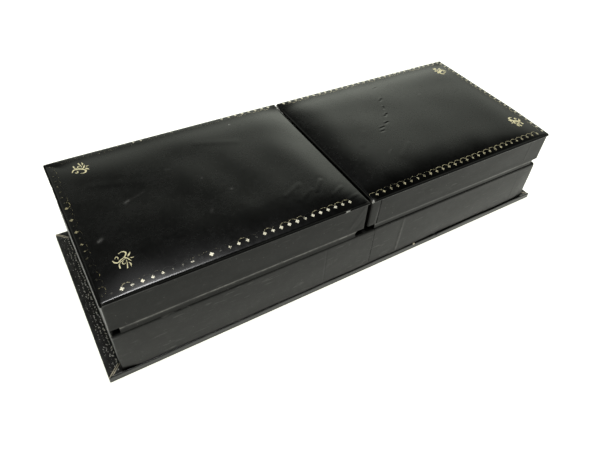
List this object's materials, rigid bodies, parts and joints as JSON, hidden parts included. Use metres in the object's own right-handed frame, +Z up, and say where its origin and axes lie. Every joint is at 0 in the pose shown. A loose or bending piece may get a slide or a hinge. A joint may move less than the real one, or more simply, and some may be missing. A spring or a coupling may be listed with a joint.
{
  "type": "drafting instrument case",
  "caption": "Long flat black leather case with side-by-side padded lids hinged along one long edge, gold-tooled borders, a projecting base board and fitted velvet beds for drawing instruments.",
  "frame": {"origin": "middle of the base's underside, which rests on the table", "axes": "+X along the case's length, -Y towards the hinge side, +Z up"},
  "size_m": [0.2838, 0.105, 0.0558],
  "materials": {
    "leather": "satin black grain leather with worn gold tooling",
    "leatherette": "satin black leatherette paper",
    "card": "grey board",
    "neck_card": "card covered with matt black paper",
    "stained_wood": "black-stained bar",
    "lining_paper": "black lining paper",
    "velvet": "dark blue velvet",
    "satin": "blue satin over wadding",
    "wadding": "cotton wadding"
  },
  "bodies": {
    "base": {"base_board": "card", "base_cover": "leather", "base_lining": "lining_paper", "tray_hinge_wall": "card", "tray_opening_wall": "card", "tray_left_end": "card", "tray_right_end": "card", "tray_left_floor": "card", "tray_right_floor": "card", "tray_divider": "stained_wood", "tray_cover": "leatherette", "left_neck": "neck_card", "right_neck": "neck_card", "left_bed": "velvet", "right_bed": "velvet", "left_hinge_strip": "leatherette", "right_hinge_strip": "leatherette"},
    "left_lid": {"left_lid_hinge_wall": "card", "left_lid_opening_wall": "card", "left_lid_outer_end": "card", "left_lid_split_end": "card", "left_lid_cover": "leatherette", "left_lid_board": "card", "left_lid_padding": "wadding", "left_lid_leather": "leather", "left_lid_lining": "satin"},
    "right_lid": {"right_lid_hinge_wall": "card", "right_lid_opening_wall": "card", "right_lid_outer_end": "card", "right_lid_split_end": "card", "right_lid_cover": "leatherette", "right_lid_board": "card", "right_lid_padding": "wadding", "right_lid_leather": "leather", "right_lid_lining": "satin"}
  },
  "joints": [
    {"name": "left_lid_hinge", "type": "hinge", "parent": "base", "child": "left_lid", "pos_m": [-0.06817, -0.0506, 0.03215], "axis": [1, 0, 0], "range_deg": [0, 175], "deforming": ["left_hinge_strip"]},
    {"name": "right_lid_hinge", "type": "hinge", "parent": "base", "child": "right_lid", "pos_m": [0.06817, -0.0506, 0.03215], "axis": [1, 0, 0], "range_deg": [0, 175], "deforming": ["right_hinge_strip"]}
  ]
}
